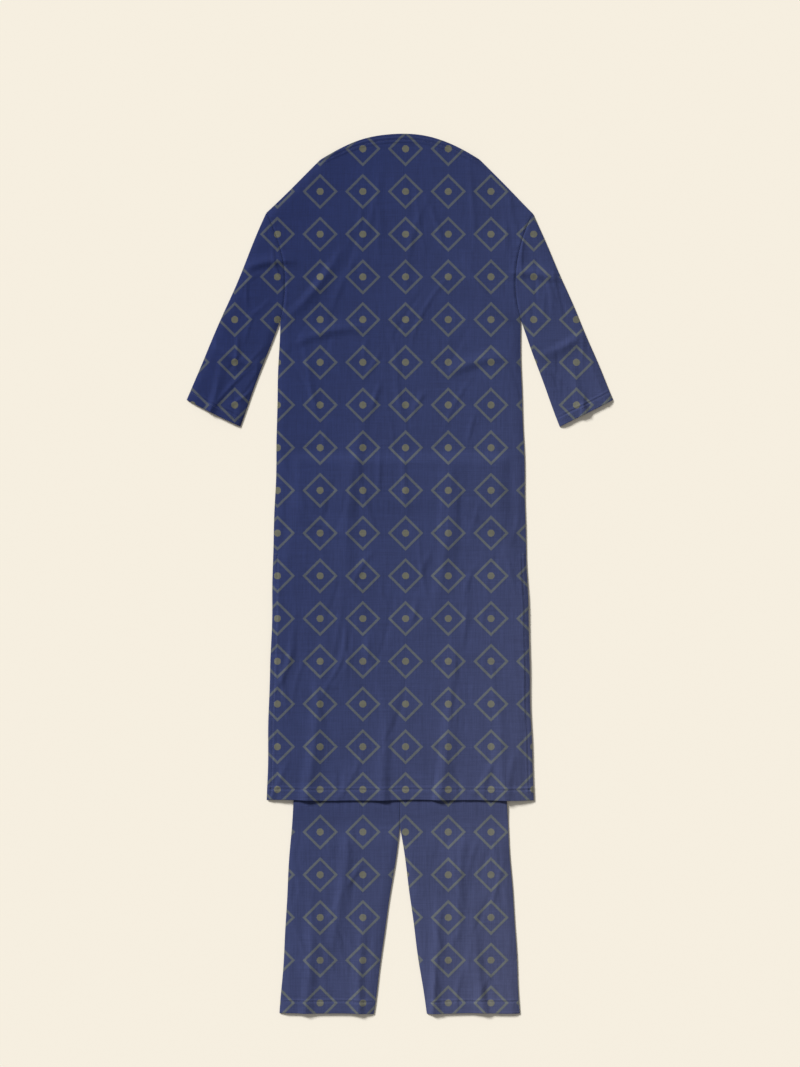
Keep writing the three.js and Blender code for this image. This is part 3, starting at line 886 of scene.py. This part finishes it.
body_width = 2 * SHOULDER_TIP[0]
front_across, front_round_across = stations(
    body_width,
    (13 * mm, SIDE_SPACING),
    (body_width - 13 * mm, FRONT_SPACING[0]),
    (np.inf, SIDE_SPACING),
)
side_height = SHOULDER_TIP[1] - HEM_Y
front_up, front_round_up = stations(
    side_height,
    (HEM_DEPTH + 4 * mm, SIDE_SPACING),
    (ARMPIT[1] - HEM_Y, FRONT_SPACING[1]),
    (side_height - 9 * mm, FRONT_SPACING[2]),
    (np.inf, NECK_SPACING),
)
plan_x, plan_y = body_plan(
    front_across / SHOULDER_TIP[0] - 1, (HEM_Y + front_up)[:, None], NECK_DIP
)
front_x, front_y = hand_laid(plan_x, plan_y)
kurta_front = cloth(
    "front_panel",
    front_x,
    front_y,
    upper_layer(plan_x, plan_y),
    np.outer(front_round_up, front_round_across),
    kurta_cloth,
)

hem_x = np.linspace(-1, 1, 200) * (SHOULDER_TIP[0] - SLIT_DEPTH + STITCH_INSET)
neck_x = np.linspace(-1, 1, 200) * (NECK_POINT[0] - 4 * mm)
slit_y = np.linspace(HEM_Y + 3 * mm, SLIT_TOP_Y, 200)
slit_x = body_half_width(slit_y) - SLIT_DEPTH + STITCH_INSET
tack_x = body_half_width(SLIT_TOP_Y) - np.linspace(SLIT_DEPTH - STITCH_INSET, 2 * mm, 9)
paths = [
    (hem_x, 0 * hem_x + HEM_Y + HEM_DEPTH - STITCH_INSET),
    (neck_x, top_edge(neck_x, NECK_DIP) - NECK_DEPTH + STITCH_INSET),
]
for side in (1, -1):
    paths.append((side * slit_x, slit_y))
    paths += [(side * tack_x, 0 * tack_x + SLIT_TOP_Y + row * 0.6 * mm) for row in range(4)]
front_stitches = sewn("front_stitches", paths, upper_layer)
for piece in (kurta_front, front_stitches):
    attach(piece, "root")
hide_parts("kurta_front")
flat_area(front_x, front_y)


# Sleeves
# Each is one piece folded along the top of the arm, closed by the underarm seam and set into
# the armhole. It lies flat, with its lower layer on the floor and a turned, sewn cuff.
SLEEVE_LANES = 52


def sleeve_plan(side):
    """Plan of a sleeve: w goes from the underarm seam to the fold, and up is the distance from
    the armhole, along the fold. The armhole's curve straightens out towards the cuff."""
    length = np.hypot(CUFF_TOP[0] - SHOULDER_TIP[0], CUFF_TOP[1] - SHOULDER_TIP[1])

    def plan(w, up):
        v = up / length
        armhole_y = mix(ARMPIT[1], SHOULDER_TIP[1], w)
        armhole_x = body_half_width(armhole_y) + GAP
        armhole_x = np.where(w <= 0, ARMPIT[0] + GAP, armhole_x)
        bow = 4 * ARMHOLE_CURVE * w * (1 - w) * v * (1 - v)
        x = mix(armhole_x, mix(CUFF_UNDER[0], CUFF_TOP[0], w), v) + bow
        return side * x, mix(armhole_y, mix(CUFF_UNDER[1], CUFF_TOP[1], w), v)

    return plan, length


for name, side in (("left", 1), ("right", -1)):
    plan, length = sleeve_plan(side)
    up, round_up = stations(
        length,
        (12 * mm, SIDE_SPACING),
        (length - CUFF_DEPTH - 8 * mm, FRONT_SPACING[0]),
        (np.inf, SIDE_SPACING),
    )
    sleeve = flat_tube(
        f"sleeve_tube_{name}", plan, lambda x, y: upper_layer(x, y) + WALL / 2, WALL / 2,
        LAYER / 2, WALL, np.linspace(0, 1, SLEEVE_LANES), up, round_up, kurta_cloth,
    )
    w = np.linspace(0.02, 0.98, 60)
    cuff_x, cuff_y = plan(w, 0 * w + length - CUFF_DEPTH + STITCH_INSET)
    cuff = sewn(f"cuff_stitches_{name}", [(cuff_x, cuff_y)], upper_layer)
    for piece in (sleeve, cuff):
        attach(piece, "root")
    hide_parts(f"sleeve_{name}")
    x, y = plan(np.linspace(0, 1, 20)[None], np.linspace(0, length, 20)[:, None])
    2 * np.hypot(SHOULDER_TIP[0] - ARMPIT[0], SHOULDER_TIP[1] - ARMPIT[1])
    2 * flat_area(x, y)
